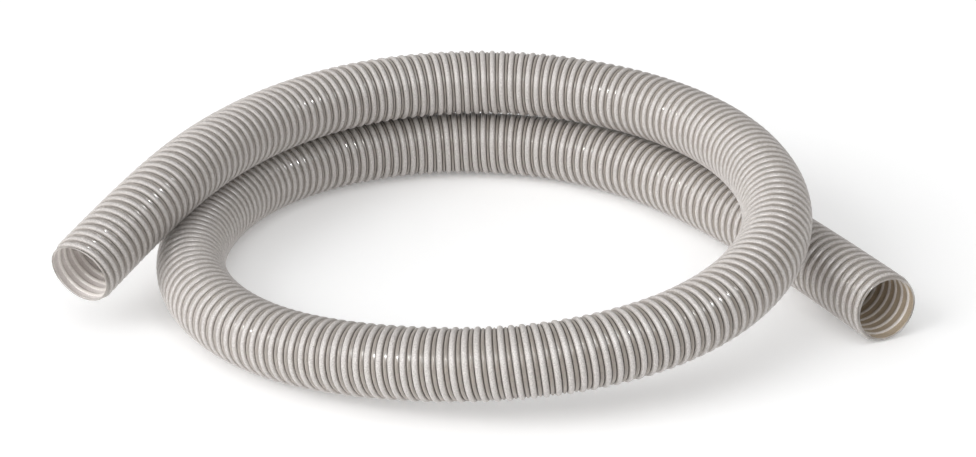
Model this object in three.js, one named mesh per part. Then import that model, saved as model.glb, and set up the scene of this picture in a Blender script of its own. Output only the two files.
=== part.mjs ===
// A length of suction and drain hose: a thin flexible wall, carried by a stiff round rib wound round it.
// It lies in a loop and a third, with its upper strand on its lower one.
// Millimetres, +Z up, the floor at z = 0, the origin under the middle of the hose.

import * as THREE from 'three';

// Driving dimensions
const OUTER_DIAMETER = 86;        // over the crest of the rib
const BORE_DIAMETER = 76;
const WALL_OUTER_DIAMETER = 82;   // the flexible wall, between the turns of the rib
const SKIN_GAP = 0.3;             // between the wall and the band that stands for the rib

const SECTION_SIDES = 12;
const STEPS = 56;                 // rings along the hose, about 0.8 diameters apart
const ARC_LENGTH_DIVISIONS = 2000;

// Control points of the hose's middle line, from the raised end to the end that lies on the floor.
// The upper strand lies on the lower one, so its middle is one diameter higher.
const ROUTE = [
  [-482, -148, 81], [-390, 14, 132], [-322, 170, 130], [-224, 300, 128],
  [-84, 370, 130], [76, 370, 130], [226, 292, 128], [326, 146, 132],
  [370, -28, 126], [340, -184, 106], [240, -310, 88], [84, -378, 75],
  [-90, -360, 62], [-250, -272, 43], [-348, -142, 43], [-374, 18, 43],
  [-324, 198, 43], [-222, 314, 43], [-88, 372, 43], [56, 368, 43],
  [186, 304, 43], [294, 178, 43], [392, 16, 43], [482, -166, 43],
];

// A uniform cubic B-spline over control points, which starts and ends at the first and last of them.
class HoseRoute extends THREE.Curve {
  constructor(points) {
    super();
    this.arcLengthDivisions = ARC_LENGTH_DIVISIONS;
    const first = points[0].clone().multiplyScalar(2).sub(points[1]);
    const last = points.at(-1).clone().multiplyScalar(2).sub(points.at(-2));
    this.controls = [first, ...points, last];
    this.spans = points.length - 1;
  }

  getPoint(t, target = new THREE.Vector3()) {
    const span = Math.min(Math.floor(t * this.spans), this.spans - 1);
    const u = t * this.spans - span;
    const weights = [
      (1 - u) ** 3 / 6,
      (3 * u ** 3 - 6 * u ** 2 + 4) / 6,
      (-3 * u ** 3 + 3 * u ** 2 + 3 * u + 1) / 6,
      u ** 3 / 6,
    ];
    target.set(0, 0, 0);
    weights.forEach((weight, i) => target.addScaledVector(this.controls[span + i], weight));
    return target;
  }
}

// A ring-shaped section: a regular polygon with its corners on the outer circle, and a smaller one cut out.
// It is turned by half a side, so that the tube lies on a row of corners, at its full diameter.
function ringSection(outerDiameter, innerDiameter) {
  const corner = (diameter, i) => {
    const angle = (2 * Math.PI * (i + 0.5)) / SECTION_SIDES;
    return new THREE.Vector2(Math.cos(angle), Math.sin(angle)).multiplyScalar(diameter / 2);
  };
  const corners = (diameter) => Array.from({ length: SECTION_SIDES }, (_, i) => corner(diameter, i));
  const section = new THREE.Shape(corners(outerDiameter));
  section.holes.push(new THREE.Path(corners(innerDiameter).reverse()));
  return section;
}

// An open-ended tube along the hose's route.
function tubeAlong(route, outerDiameter, innerDiameter) {
  return new THREE.ExtrudeGeometry(ringSection(outerDiameter, innerDiameter), {
    extrudePath: route,
    steps: STEPS,
    bevelEnabled: false,
  });
}

function part(name, geometry, material) {
  const mesh = new THREE.Mesh(geometry, new THREE.MeshStandardMaterial(material));
  mesh.name = name;
  return mesh;
}

const route = new HoseRoute(ROUTE.map(([x, y, z]) => new THREE.Vector3(x, y, z)));

const wall = part(
  'hose_wall',
  tubeAlong(route, WALL_OUTER_DIAMETER, BORE_DIAMETER),
  { color: 0x8f867d, roughness: 0.35, metalness: 0 },
);

// The rib's turns touch or nearly touch, so a plain band of their full height stands for all of them.
const rib = part(
  'helix_rib',
  tubeAlong(route, OUTER_DIAMETER, WALL_OUTER_DIAMETER + 2 * SKIN_GAP),
  { color: 0xcfc8c1, roughness: 0.4, metalness: 0 },
);

const hose = new THREE.Group();
hose.add(wall, rib);

export default hose;
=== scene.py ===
import math

import bmesh
import bpy
import numpy as np
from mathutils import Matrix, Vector


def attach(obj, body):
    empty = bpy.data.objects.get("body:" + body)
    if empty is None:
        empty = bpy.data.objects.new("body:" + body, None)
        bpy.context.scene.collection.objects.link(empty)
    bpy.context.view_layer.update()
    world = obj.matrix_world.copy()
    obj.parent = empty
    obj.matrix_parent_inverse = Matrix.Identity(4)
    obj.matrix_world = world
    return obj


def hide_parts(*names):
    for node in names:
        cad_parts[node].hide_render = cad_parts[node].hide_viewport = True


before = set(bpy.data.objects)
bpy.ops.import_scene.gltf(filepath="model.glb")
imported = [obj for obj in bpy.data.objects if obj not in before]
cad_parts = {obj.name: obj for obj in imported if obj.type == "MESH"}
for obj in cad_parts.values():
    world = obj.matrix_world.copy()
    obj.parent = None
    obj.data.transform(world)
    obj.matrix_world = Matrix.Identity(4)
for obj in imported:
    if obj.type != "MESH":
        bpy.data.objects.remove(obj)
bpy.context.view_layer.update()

# ---------------------------------------------------------------------------
# Driving dimensions, in metres
# ---------------------------------------------------------------------------
MM = 0.001
TURN = 2 * math.pi
WALL_RADIUS = 41 * MM             # the outside heights below are counted from here
BORE_RADIUS = 38 * MM             # the inside heights below are counted from here, outwards

# The hose's middle line, as the control points of a uniform cubic B-spline, in millimetres.
ROUTE = [
    (-482, -148, 81), (-390, 14, 132), (-322, 170, 130), (-224, 300, 128),
    (-84, 370, 130), (76, 370, 130), (226, 292, 128), (326, 146, 132),
    (370, -28, 126), (340, -184, 106), (240, -310, 88), (84, -378, 75),
    (-90, -360, 62), (-250, -272, 43), (-348, -142, 43), (-374, 18, 43),
    (-324, 198, 43), (-222, 314, 43), (-88, 372, 43), (56, 368, 43),
    (186, 304, 43), (294, 178, 43), (392, 16, 43), (482, -166, 43),
]
ROUTE_SAMPLES = 12000

# The rib: a right-hand helix. Its pitch in millimetres, at even steps along the hose.
PITCHES = [11.6, 14.4, 13.2, 13.5, 13.8, 12.9, 13.3, 13.7, 13.2, 13.8, 14.0, 13.2]
RIB_WIDTH = 7.4 * MM
RIB_START_ANGLE = math.radians(48)
RIB_END_ANGLE = math.radians(240)
RIB_END_GAP = 3.2 * MM            # from each cut end to the middle of the rib, where the rib stops
RIB_TAPER = math.radians(22)      # over this angle the rib grows to its full size at the raised end
RIB_LEAST = 0.15                  # its share of the full size at the very tip
STEPS_PER_TURN = 30

# The rib's section: along the hose as a share of its half width, and millimetres above WALL_RADIUS.
RIB_OUTSIDE = [
    (-1.0, -1.7), (-0.96, -0.5), (-0.78, 0.75), (-0.30, 1.9),
    (0.30, 1.9), (0.78, 0.75), (0.96, -0.5), (1.0, -1.7),
]
RIB_INSIDE = [(0.62, -2.6), (0.0, -4.0), (-0.62, -2.6)]
# Strips of the section, each counted from the point that it starts at. The flank strips take a painted
# shade, and the ridge strips a painted light.
RIB_FLANKS = (0, 1, 5, 6)
RIB_RIDGE = (7, 8, 9, 10)         # round the ridge that shows inside the bore

# The wall between two turns of the rib: shares of the gap, and millimetres above WALL_RADIUS.
WALL_OUTSIDE = [(-0.06, -1.5), (0.20, -1.35), (0.36, 0.1), (0.64, 0.1), (0.80, -1.35), (1.06, -1.5)]
# The crevice strips take a painted shade.
CREVICE_ROWS = (0, 4)             # the strips of it that lie in the crevices beside the rib
# The bore between two turns: shares of the pitch, and millimetres outside BORE_RADIUS.
WALL_INSIDE = [(0.08, 0.2), (0.30, 1.0), (0.50, 1.1), (0.70, 1.0), (0.92, 0.2)]
SPARE_TURNS = 3                   # turns of wall made past each end, which the cut then takes off
MERGE_DISTANCE = 0.001 * MM

# The cut rims.
RIM_OUTSIDE = 40.3 * MM
RIM_INSIDE = BORE_RADIUS

# Which material each face of a piece has.
WALL_SLOT, RIM_SLOT, CREVICE_SLOT, BORE_SLOT = range(4)
RIB_SLOT, FLANK_SLOT, RIDGE_SLOT = range(3)

# The camera stands in front of the hose and looks down at it.
CAMERA_ELEVATION = math.radians(23.70)
CAMERA_DISTANCE = 3.7679
CAMERA_LENS = 106.31
CAMERA_SENSOR = 36
CAMERA_REACH = 50
LOOK_AT = Vector((0.00583, 0.17111, 0.0))


# ---------------------------------------------------------------------------
# Camera
# ---------------------------------------------------------------------------
def add_camera():
    camera = bpy.data.cameras.new("camera")
    camera.lens = CAMERA_LENS
    camera.sensor_width = CAMERA_SENSOR
    camera.clip_end = CAMERA_REACH
    holder = bpy.data.objects.new("camera", camera)
    bpy.context.collection.objects.link(holder)
    back = Vector((0, -math.cos(CAMERA_ELEVATION), math.sin(CAMERA_ELEVATION)))
    holder.location = LOOK_AT + CAMERA_DISTANCE * back
    holder.rotation_euler = (math.pi / 2 - CAMERA_ELEVATION, 0, 0)
    bpy.context.scene.camera = holder


# ---------------------------------------------------------------------------
# The hose's middle line
# ---------------------------------------------------------------------------
def b_spline(controls, samples):
    """A uniform cubic B-spline that starts and ends at the first and last control point."""
    controls = np.array(controls, float)
    first = 2 * controls[0] - controls[1]
    last = 2 * controls[-1] - controls[-2]
    held = np.vstack([first, controls, last])
    spans = len(controls) - 1
    t = np.linspace(0, spans, samples)
    span = np.minimum(t.astype(int), spans - 1)
    u = (t - span)[:, None]
    weights = [
        (1 - u) ** 3 / 6,
        (3 * u ** 3 - 6 * u ** 2 + 4) / 6,
        (-3 * u ** 3 + 3 * u ** 2 + 3 * u + 1) / 6,
        u ** 3 / 6,
    ]
    return sum(weight * held[span + i] for i, weight in enumerate(weights))


def unit(vectors):
    return vectors / np.linalg.norm(vectors, axis=-1, keepdims=True)


class MiddleLine:
    """The route by length, with two directions across it: side, to its left, and up, square to both."""

    def __init__(self, controls):
        points = b_spline(controls, ROUTE_SAMPLES) * MM
        steps = np.linalg.norm(np.diff(points, axis=0), axis=1)
        self.at = np.concatenate([[0], np.cumsum(steps)])
        self.length = self.at[-1]
        self.points = points
        self.along = unit(np.gradient(points, self.at, axis=0))
        self.side = unit(np.cross((0, 0, 1), self.along))
        self.up = np.cross(self.along, self.side)
        self.bend = np.gradient(self.along, self.at, axis=0)

    def read(self, table, s):
        return np.stack([np.interp(s, self.at, table[:, i]) for i in range(3)], axis=-1)

    def outward(self, s, angle):
        side = self.read(self.side, s)
        up = self.read(self.up, s)
        return np.cos(angle)[..., None] * side + np.sin(angle)[..., None] * up

    def surface(self, s, angle, radius):
        """The point at a radius from the middle line, at an angle from its side towards its up."""
        return self.read(self.points, s) + radius[..., None] * self.outward(s, angle)

    def stretch(self, s, angle):
        """How much longer the wall is there than the middle line: over 1 outside a bend, under 1 inside."""
        bend = self.read(self.bend, s)
        return 1 - WALL_RADIUS * np.sum(bend * self.outward(s, angle), axis=-1)


LINE = MiddleLine(ROUTE)


# ---------------------------------------------------------------------------
# The helix: its angle against length
# ---------------------------------------------------------------------------
class Helix:
    def __init__(self, line):
        knots = np.linspace(0, line.length, len(PITCHES))
        pitch = np.interp(line.at, knots, PITCHES) * MM
        turns = np.concatenate([[0], np.cumsum(np.diff(line.at) / pitch[1:])])
        ends = [RIB_END_GAP, line.length - RIB_END_GAP]
        raw_start, raw_end = np.interp(ends, line.at, turns)
        part_turn = (RIB_END_ANGLE - RIB_START_ANGLE) / TURN
        whole_turns = round(raw_end - raw_start - part_turn)
        scale = (whole_turns + part_turn) / (raw_end - raw_start)
        self.at = line.at
        self.angles = RIB_START_ANGLE + TURN * scale * (turns - raw_start)
        self.end_pitch = (pitch[0] / scale, pitch[-1] / scale)
        self.start = RIB_START_ANGLE
        self.end = RIB_START_ANGLE + TURN * (whole_turns + part_turn)

    def s(self, angle):
        """The length at which the rib reaches an angle, carried on past both ends."""
        inside = np.interp(angle, self.angles, self.at)
        before = (angle - self.angles[0]) / TURN * self.end_pitch[0]
        after = (angle - self.angles[-1]) / TURN * self.end_pitch[1]
        return inside + np.minimum(before, 0) + np.maximum(after, 0)


HELIX = Helix(LINE)


# ---------------------------------------------------------------------------
# Meshes
# ---------------------------------------------------------------------------
def make_mesh(name, points, faces, slots):
    """A smooth mesh, with the number of each face's material."""
    mesh = bpy.data.meshes.new(name)
    mesh.from_pydata(points.reshape(-1, 3).tolist(), [], faces)
    mesh.polygons.foreach_set("use_smooth", [True] * len(faces))
    mesh.polygons.foreach_set("material_index", slots)
    mesh.update()
    piece = bpy.data.objects.new(name, mesh)
    bpy.context.collection.objects.link(piece)
    return piece


def rib_slot(strip):
    if strip in RIB_FLANKS:
        return FLANK_SLOT
    if strip in RIB_RIDGE:
        return RIDGE_SLOT
    return RIB_SLOT


def rib_mesh():
    """The rib's section, swept along its helix and closed at both ends."""
    section = np.array(RIB_OUTSIDE + RIB_INSIDE)
    size = len(section)
    count = round((HELIX.end - HELIX.start) / TURN * STEPS_PER_TURN) + 1
    angle = np.linspace(HELIX.start, HELIX.end, count)[:, None]
    s = HELIX.s(angle)
    fullness = np.clip((angle - HELIX.start) / RIB_TAPER, RIB_LEAST, 1)
    half = RIB_WIDTH / 2 / LINE.stretch(s, angle)
    along = s + section[None, :, 0] * half * fullness
    height = np.where(section[:, 1] > 0, section[:, 1] * fullness, section[:, 1]) * MM
    angles = np.broadcast_to(angle, along.shape)
    points = LINE.surface(np.clip(along, 0, LINE.length), angles, WALL_RADIUS + height)
    faces = []
    slots = []
    for i in range(count - 1):
        for j in range(size):
            k = (j + 1) % size
            faces.append((i * size + j, i * size + k, (i + 1) * size + k, (i + 1) * size + j))
            slots.append(rib_slot(j))
    faces.append(tuple(reversed(range(size))))
    faces.append(tuple((count - 1) * size + j for j in range(size)))
    slots += [RIB_SLOT, RIB_SLOT]
    return make_mesh("helix_rib_coil", points, faces, slots)


def outside_profile(here, there, angle):
    """Lengths and radii of the outer skin's rows, from one turn of the rib to the next."""
    here_inside = np.clip(here, 0, LINE.length)
    there_inside = np.clip(there, 0, LINE.length)
    edge = here + RIB_WIDTH / 2 / LINE.stretch(here_inside, angle)
    next_edge = there - RIB_WIDTH / 2 / LINE.stretch(there_inside, angle)
    gap = next_edge - edge
    s = np.stack([edge + share * gap for share, _ in WALL_OUTSIDE], axis=1)
    radius = np.stack([np.full_like(edge, WALL_RADIUS + height * MM) for _, height in WALL_OUTSIDE], axis=1)
    return s, radius


def inside_profile(here, there, angle):
    """Lengths and radii of the inner skin's rows, from one turn of the rib to the next."""
    s = np.stack([here + share * (there - here) for share, _ in WALL_INSIDE], axis=1)
    radius = np.stack([np.full_like(here, BORE_RADIUS + height * MM) for _, height in WALL_INSIDE], axis=1)
    return s, radius


def skin_points(profile, rim_radius, turns):
    """One skin of the wall as rows of points round the hose. Both ends are cut square."""
    step = np.arange(STEPS_PER_TURN) / STEPS_PER_TURN * TURN
    angle = turns[:, None] * TURN + step[None, :]
    s, radius = profile(HELIX.s(angle), HELIX.s(angle + TURN), angle)
    s = s.reshape(-1, STEPS_PER_TURN)
    radius = radius.reshape(-1, STEPS_PER_TURN)
    radius = np.where((s < 0) | (s > LINE.length), rim_radius, radius)
    s = np.clip(s, 0, LINE.length)
    return LINE.surface(s, np.broadcast_to(step, s.shape), radius)


def skin_faces(rows, rows_per_turn, first_point):
    """The faces between a skin's rows. The last step of each turn joins on to the first step of the next."""
    faces = []
    for i in range(rows - 1):
        for j in range(STEPS_PER_TURN):
            corners = []
            for di, dj in ((0, 0), (1, 0), (1, 1), (0, 1)):
                row, column = i + di, j + dj
                if column == STEPS_PER_TURN:
                    row, column = min(row + rows_per_turn, rows - 1), 0
                corners.append(first_point + row * STEPS_PER_TURN + column)
            faces.append(tuple(corners))
    return faces


def rim_faces(outer_start, inner_start):
    """A ring of faces from a row of the outer skin to a row of the inner one."""
    faces = []
    for j in range(STEPS_PER_TURN):
        k = (j + 1) % STEPS_PER_TURN
        faces.append((outer_start + j, outer_start + k, inner_start + k, inner_start + j))
    return faces


def wall_mesh():
    """The flexible wall: an outer and an inner skin that follow the rib, joined at the two cut rims."""
    first_turn = math.floor(HELIX.start / TURN) - SPARE_TURNS
    last_turn = math.ceil(HELIX.end / TURN) + SPARE_TURNS
    turns = np.arange(first_turn, last_turn)
    outer = skin_points(outside_profile, RIM_OUTSIDE, turns)
    inner = skin_points(inside_profile, RIM_INSIDE, turns)
    inner_start = len(outer) * STEPS_PER_TURN
    outer_last_row = inner_start - STEPS_PER_TURN
    inner_last_row = inner_start + (len(inner) - 1) * STEPS_PER_TURN

    faces = [face[::-1] for face in skin_faces(len(outer), len(WALL_OUTSIDE), 0)]
    rows = [index // STEPS_PER_TURN % len(WALL_OUTSIDE) for index in range(len(faces))]
    # The crevice faces take the painted shade.
    slots = [CREVICE_SLOT if row in CREVICE_ROWS else WALL_SLOT for row in rows]
    bore = skin_faces(len(inner), len(WALL_INSIDE), inner_start)
    rims = rim_faces(0, inner_start)
    rims += [face[::-1] for face in rim_faces(outer_last_row, inner_last_row)]
    faces += bore + rims
    slots += [BORE_SLOT] * len(bore) + [RIM_SLOT] * len(rims)

    points = np.concatenate([outer.reshape(-1, 3), inner.reshape(-1, 3)])
    piece = make_mesh("hose_wall_skin", points, faces, slots)
    for polygon in piece.data.polygons[-len(rims):]:
        polygon.use_smooth = False
    merge_doubles(piece)
    return piece


def merge_doubles(piece):
    work = bmesh.new()
    work.from_mesh(piece.data)
    bmesh.ops.remove_doubles(work, verts=work.verts, dist=MERGE_DISTANCE)
    bmesh.ops.recalc_face_normals(work, faces=work.faces)
    work.to_mesh(piece.data)
    work.free()


# ---------------------------------------------------------------------------
# Materials
# ---------------------------------------------------------------------------
# Darkest and lightest colour of each plastic. The flank and crevice colours are painted shade, and the ridge
# colours, inside the bore, painted light.
RIB_COLOURS = (0.40, 0.374, 0.356), (0.64, 0.606, 0.583)
FLANK_PAINTED_SHADE_COLOURS = (0.35, 0.321, 0.297), (0.52, 0.484, 0.455)
# The ridge colours are painted light: paler than the rib's own plastic outside.
RIDGE_PAINTED_LIGHT_COLOURS = (0.68, 0.64, 0.605), (0.82, 0.78, 0.745)
WALL_COLOURS = (0.26, 0.238, 0.218), (0.46, 0.427, 0.398)
CREVICE_PAINTED_SHADE_COLOURS = (0.06, 0.052, 0.046), (0.13, 0.115, 0.102)
RIM_COLOURS = (0.25, 0.228, 0.208), (0.42, 0.394, 0.37)
BORE_CLOUD = (0.8, 0.8, 0.8), (1.0, 1.0, 1.0)

# The bore's colour at each end, and where along X, counted from X_SHIFT left of the middle, it changes. The
# colours hold painted light and shade: paler at the raised end, whose mouth lets more light in, and darker
# and browner at the floor end.
BORE_LIT_END_COLOUR = (0.80, 0.75, 0.725)
BORE_SHADED_END_COLOUR = (0.56, 0.465, 0.355)
BORE_STOPS = (0.2, 0.8)
X_SHIFT = 0.5

# Fine patches of colour: noise scale and detail, and the noise values of the darkest and lightest colour.
MOTTLE = (1000, 5)
RIM_MOTTLE = (30, 4)
MOTTLE_STOPS = (0.4, 0.6)

# The surface's grain: noise scale and detail, depth, and how strongly it shows.
GRAIN = (900, 3)
GRAIN_DEPTH = 0.5 * MM
RIB_GRAIN = 0.55
WALL_GRAIN = 0.3

# Specks of dirt: cells per metre, and the radius as a share of a cell, with a soft edge.
SPECK_CELLS = 25
SPECK_SIZE = 0.02
SPECK_EDGE = 1.2 * SPECK_SIZE
SPECK_COLOUR = (0.05, 0.04, 0.035)

# A painted reflection: the wall's colour turns paler where it is seen at a glancing angle, as a glossy wall
# that reflects the bright room would: its colour, and how fast it takes over.
GRAZING_SHEEN_COLOUR = (0.63, 0.593, 0.562)
GRAZING_BLEND = 0.5
GRAZING_STOPS = (0.25, 0.6)
GRAZING_SHEEN_MOST = (0.8, 0.8, 0.8)

# Light that comes through the wall.
THROUGH_SHARE = 0.5
THROUGH_COLOUR = (0.93, 0.895, 0.86)

PVC_IOR = 1.53
RIB_ROUGHNESS = 0.42
PAINTED_TONE_ROUGHNESS = 0.3
WALL_ROUGHNESS = 0.16
WALL_COAT_ROUGHNESS = 0.07
CREVICE_ROUGHNESS = 0.45
BORE_ROUGHNESS = 0.3
RIM_ROUGHNESS = 0.55

BLACK = (0, 0, 0)
WHITE = (1, 1, 1)


def new_material(name):
    material = bpy.data.materials.new(name)
    material.use_nodes = True
    nodes = material.node_tree.nodes
    return material, nodes, material.node_tree.links, nodes["Principled BSDF"]


def add_noise(nodes, links, scale, detail):
    place = nodes.new("ShaderNodeTexCoord")
    noise = nodes.new("ShaderNodeTexNoise")
    noise.inputs["Scale"].default_value = scale
    noise.inputs["Detail"].default_value = detail
    links.new(place.outputs["Object"], noise.inputs["Vector"])
    return noise.outputs["Fac"]


def add_ramp(nodes, links, source, positions, colours):
    """A colour that goes from the first to the second as the source goes from one position to the other."""
    ramp = nodes.new("ShaderNodeValToRGB")
    for element, position, colour in zip(ramp.color_ramp.elements, positions, colours, strict=True):
        element.position = position
        element.color = (*colour, 1)
    links.new(source, ramp.inputs["Fac"])
    return ramp.outputs["Color"]


def add_mottle(nodes, links, colours, texture=MOTTLE):
    """A colour that wanders in fine patches between two others."""
    return add_ramp(nodes, links, add_noise(nodes, links, *texture), MOTTLE_STOPS, colours)


def add_grain(nodes, links, shader, strength):
    bump = nodes.new("ShaderNodeBump")
    bump.inputs["Strength"].default_value = strength
    bump.inputs["Distance"].default_value = GRAIN_DEPTH
    links.new(add_noise(nodes, links, *GRAIN), bump.inputs["Height"])
    links.new(bump.outputs["Normal"], shader.inputs["Normal"])


def add_mix(nodes, links, share, first, second):
    """A colour between two others, by a share."""
    mix = nodes.new("ShaderNodeMix")
    mix.data_type = "RGBA"
    links.new(share, mix.inputs["Factor"])
    links.new(first, mix.inputs["A"])
    mix.inputs["B"].default_value = (*second, 1)
    return mix.outputs["Result"]


def add_product(nodes, links, first, second):
    """One colour multiplied by another."""
    mix = nodes.new("ShaderNodeMix")
    mix.data_type = "RGBA"
    mix.blend_type = "MULTIPLY"
    mix.inputs["Factor"].default_value = 1.0
    links.new(first, mix.inputs["A"])
    links.new(second, mix.inputs["B"])
    return mix.outputs["Result"]


def add_specks(nodes, links, colour):
    """A few dark specks of dirt, each at most 2 mm across, over a colour."""
    place = nodes.new("ShaderNodeTexCoord")
    cells = nodes.new("ShaderNodeTexVoronoi")
    cells.inputs["Scale"].default_value = SPECK_CELLS
    links.new(place.outputs["Object"], cells.inputs["Vector"])
    share = add_ramp(nodes, links, cells.outputs["Distance"], (SPECK_SIZE, SPECK_EDGE), (WHITE, BLACK))
    return add_mix(nodes, links, share, colour, SPECK_COLOUR)


def rib_material():
    """Off-white rigid PVC: satin, finely mottled."""
    material, nodes, links, shader = new_material("rib_pvc")
    colour = add_mottle(nodes, links, RIB_COLOURS)
    links.new(add_specks(nodes, links, colour), shader.inputs["Base Color"])
    shader.inputs["Roughness"].default_value = RIB_ROUGHNESS
    shader.inputs["IOR"].default_value = PVC_IOR
    add_grain(nodes, links, shader, RIB_GRAIN)
    return material


def painted_tone_rib_material(name, colours):
    """A copy of the rib's plastic with a painted tone: painted shade darkens its flanks, and painted light
    makes its inner ridge in the bore paler.
    """
    material, nodes, links, shader = new_material(name)
    links.new(add_mottle(nodes, links, colours), shader.inputs["Base Color"])
    shader.inputs["Roughness"].default_value = PAINTED_TONE_ROUGHNESS
    shader.inputs["IOR"].default_value = PVC_IOR
    return material


def add_painted_grazing_sheen(nodes, links, colour):
    """The colour painted paler where the surface is seen at a glancing angle: a painted reflection of the
    bright room.
    """
    view = nodes.new("ShaderNodeLayerWeight")
    view.inputs["Blend"].default_value = GRAZING_BLEND
    sheen_share = add_ramp(nodes, links, view.outputs["Facing"], GRAZING_STOPS, (BLACK, GRAZING_SHEEN_MOST))
    return add_mix(nodes, links, sheen_share, colour, GRAZING_SHEEN_COLOUR)


def wall_material():
    """Soft glossy greyish PVC that lets some light through, with a painted reflection that turns it paler at
    glancing angles.
    """
    material, nodes, links, shader = new_material("wall_pvc")
    colour = add_painted_grazing_sheen(nodes, links, add_mottle(nodes, links, WALL_COLOURS))
    links.new(add_specks(nodes, links, colour), shader.inputs["Base Color"])
    shader.inputs["Roughness"].default_value = WALL_ROUGHNESS
    shader.inputs["IOR"].default_value = PVC_IOR
    shader.inputs["Coat Weight"].default_value = 1.0
    shader.inputs["Coat Roughness"].default_value = WALL_COAT_ROUGHNESS
    add_grain(nodes, links, shader, WALL_GRAIN)
    through = nodes.new("ShaderNodeBsdfTranslucent")
    through.inputs["Color"].default_value = (*THROUGH_COLOUR, 1)
    blend = nodes.new("ShaderNodeMixShader")
    blend.inputs["Fac"].default_value = THROUGH_SHARE
    links.new(shader.outputs["BSDF"], blend.inputs[1])
    links.new(through.outputs["BSDF"], blend.inputs[2])
    links.new(blend.outputs["Shader"], nodes["Material Output"].inputs["Surface"])
    return material


def crevice_painted_shade_material():
    """The wall where it dips beside the rib, with painted shade: dark, and no light comes through it."""
    material, nodes, links, shader = new_material("wall_crevice_painted_shade")
    links.new(add_mottle(nodes, links, CREVICE_PAINTED_SHADE_COLOURS), shader.inputs["Base Color"])
    shader.inputs["Roughness"].default_value = CREVICE_ROUGHNESS
    return material


def bore_material():
    """The wall seen from inside, with painted light and shade: paler on the raised end's side, whose mouth
    lets more light in, and darker and browner on the floor end's side.
    """
    material, nodes, links, shader = new_material("bore_pvc")
    place = nodes.new("ShaderNodeTexCoord")
    axes = nodes.new("ShaderNodeSeparateXYZ")
    links.new(place.outputs["Object"], axes.inputs["Vector"])
    across = nodes.new("ShaderNodeMath")
    across.operation = "ADD"
    across.inputs[1].default_value = X_SHIFT
    links.new(axes.outputs["X"], across.inputs[0])
    # Painted light and shade: paler towards the raised end, darker towards the floor end.
    lit_to_shaded_colour = add_ramp(nodes, links, across.outputs["Value"], BORE_STOPS, (BORE_LIT_END_COLOUR, BORE_SHADED_END_COLOUR))
    colour = add_product(nodes, links, lit_to_shaded_colour, add_mottle(nodes, links, BORE_CLOUD))
    links.new(colour, shader.inputs["Base Color"])
    shader.inputs["Roughness"].default_value = BORE_ROUGHNESS
    shader.inputs["IOR"].default_value = PVC_IOR
    return material


def rim_material():
    """The cut through the wall: matt, with coarser patches."""
    material, nodes, links, shader = new_material("cut_pvc")
    links.new(add_mottle(nodes, links, RIM_COLOURS, RIM_MOTTLE), shader.inputs["Base Color"])
    shader.inputs["Roughness"].default_value = RIM_ROUGHNESS
    return material


# ---------------------------------------------------------------------------
# The stage: a plain white floor and soft light
# ---------------------------------------------------------------------------
WORLD_STRENGTH = 0.5
FLOOR_SIZE = 30
FLOOR_DROP = 0.3 * MM             # keeps the floor just clear of the hose
FLOOR_COLOUR = (0.9, 0.9, 0.9)
FLOOR_ROUGHNESS = 0.9
FLOOR_GLOW = 0.2
# Panels: where each shines from, how many degrees wide it looks, and its strength.
PANELS = {
    "top_panel": ((-0.20, -0.55, 1.0), 80, 0.80),
    "side_panel": ((-1.0, -0.60, 0.52), 50, 2.0),
}
# Glint lamps: where each is, and its power.
GLINTS = {
    "glint_right": ((0.7, -2.4, 2.1), 70),
    "glint_left": ((-1.2, -2.1, 2.1), 35),
}
GLINT_SIZE = 0.08


def add_floor():
    bpy.ops.mesh.primitive_plane_add(size=FLOOR_SIZE, location=(0, 0, -FLOOR_DROP))
    floor = bpy.context.object
    floor.name = "floor"
    material, nodes, links, shader = new_material("floor_white")
    shader.inputs["Base Color"].default_value = (*FLOOR_COLOUR, 1)
    shader.inputs["Roughness"].default_value = FLOOR_ROUGHNESS
    shader.inputs["Emission Color"].default_value = (*WHITE, 1)
    shader.inputs["Emission Strength"].default_value = FLOOR_GLOW
    floor.data.materials.append(material)


def add_light(name, light, place):
    """Puts a light in its place and turns it towards the middle of the floor."""
    holder = bpy.data.objects.new(name, light)
    bpy.context.collection.objects.link(holder)
    holder.location = place
    holder.rotation_euler = (-Vector(place)).to_track_quat("-Z", "Y").to_euler()
    return holder


def add_panel(name, shines_from, degrees, strength):
    """A wide, distant panel of light, which lights all of the floor alike."""
    light = bpy.data.lights.new(name, "SUN")
    light.angle = math.radians(degrees)
    light.energy = strength
    add_light(name, light, shines_from)


def add_glint(name, place, power):
    """A small lamp in front that only makes glints: it neither lights the floor nor casts a shadow."""
    light = bpy.data.lights.new(name, "AREA")
    light.shape = "SQUARE"
    light.size = GLINT_SIZE
    light.energy = power
    add_light(name, light, place).visible_diffuse = False


def add_world():
    world = bpy.data.worlds.new("studio")
    bpy.context.scene.world = world
    world.use_nodes = True
    background = world.node_tree.nodes["Background"]
    background.inputs["Color"].default_value = (*WHITE, 1)
    background.inputs["Strength"].default_value = WORLD_STRENGTH


# ---------------------------------------------------------------------------
# The hose on its stage
# ---------------------------------------------------------------------------
add_camera()

# Each piece's materials, in the order of its slot numbers.
wall = wall_mesh()
wall.data.materials.append(wall_material())
wall.data.materials.append(rim_material())
# The crevice material is painted shade.
wall.data.materials.append(crevice_painted_shade_material())
wall.data.materials.append(bore_material())
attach(wall, "root")
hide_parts("hose_wall")

rib = rib_mesh()
rib.data.materials.append(rib_material())
# The flank material is painted shade, and the ridge material painted light.
rib.data.materials.append(painted_tone_rib_material("rib_flank_painted_shade", FLANK_PAINTED_SHADE_COLOURS))
rib.data.materials.append(painted_tone_rib_material("rib_ridge_painted_light", RIDGE_PAINTED_LIGHT_COLOURS))
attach(rib, "root")
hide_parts("helix_rib")

add_floor()
add_world()
for panel, settings in PANELS.items():
    add_panel(panel, *settings)
for glint, settings in GLINTS.items():
    add_glint(glint, *settings)

view_settings = bpy.context.scene.view_settings
view_settings.view_transform = "Standard"
view_settings.look = "None"
